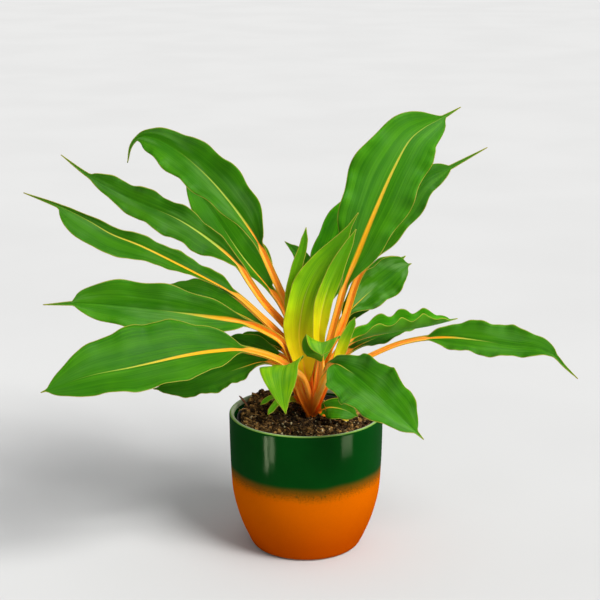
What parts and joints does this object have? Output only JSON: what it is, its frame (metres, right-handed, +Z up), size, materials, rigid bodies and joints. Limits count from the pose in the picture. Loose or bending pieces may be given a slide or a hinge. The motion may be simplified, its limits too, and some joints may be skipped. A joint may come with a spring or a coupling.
{
  "type": "potted spider plant",
  "caption": "Potted house plant with broad waved leaves on orange channelled stalks, standing in a glazed two-tone ceramic cover pot.",
  "frame": {"origin": "centre of the flat underside of the cover pot", "axes": "+Z up, -Y towards the side that the leaves turn to, +X to the right as seen from there"},
  "size_m": [0.4669, 0.2481, 0.3808],
  "materials": {
    "glazed_ceramic": "glazed ceramic: glossy dark green above, speckled into satin orange below, pale green rim",
    "dark_plastic": "thin dark moulded plastic",
    "potting_soil": "dark brown crumbly peat",
    "orange_stalk": "smooth living stalk, bright orange",
    "green_leaf": "living leaf, satin green with an orange to yellow midrib and a pale edge",
    "young_leaf": "young living leaf, satin yellow-green",
    "dry_leaf": "dry yellow leaf"
  },
  "bodies": {
    "root": {"cover_pot": "glazed_ceramic", "grow_pot": "dark_plastic", "soil": "potting_soil", "crown": "orange_stalk", "leaf_top_left": "green_leaf", "leaf_left_behind": "green_leaf", "leaf_left_long_upper": "green_leaf", "leaf_left_long_lower": "green_leaf", "leaf_left_middle": "green_leaf", "leaf_left_inner": "green_leaf", "leaf_front_left": "green_leaf", "leaf_low_left": "green_leaf", "leaf_small_left": "green_leaf", "leaf_small_left_back": "green_leaf", "leaf_hanging_front": "young_leaf", "leaf_front_right": "green_leaf", "leaf_far_right": "green_leaf", "leaf_right_wavy": "green_leaf", "leaf_right_under": "green_leaf", "leaf_right_folded": "green_leaf", "leaf_right_back": "green_leaf", "leaf_top_right": "green_leaf", "leaf_top_right_back": "green_leaf", "leaf_back_centre": "green_leaf", "leaf_small_back": "green_leaf", "leaf_centre_tall": "young_leaf", "leaf_centre_right": "young_leaf", "leaf_centre_narrow": "young_leaf", "leaf_small_folded": "young_leaf", "leaf_small_yellow": "young_leaf", "leaf_soil_right": "green_leaf", "leaf_soil_left": "green_leaf", "leaf_soil_left_back": "green_leaf", "leaf_soil_dry": "dry_leaf"}
  },
  "joints": []
}
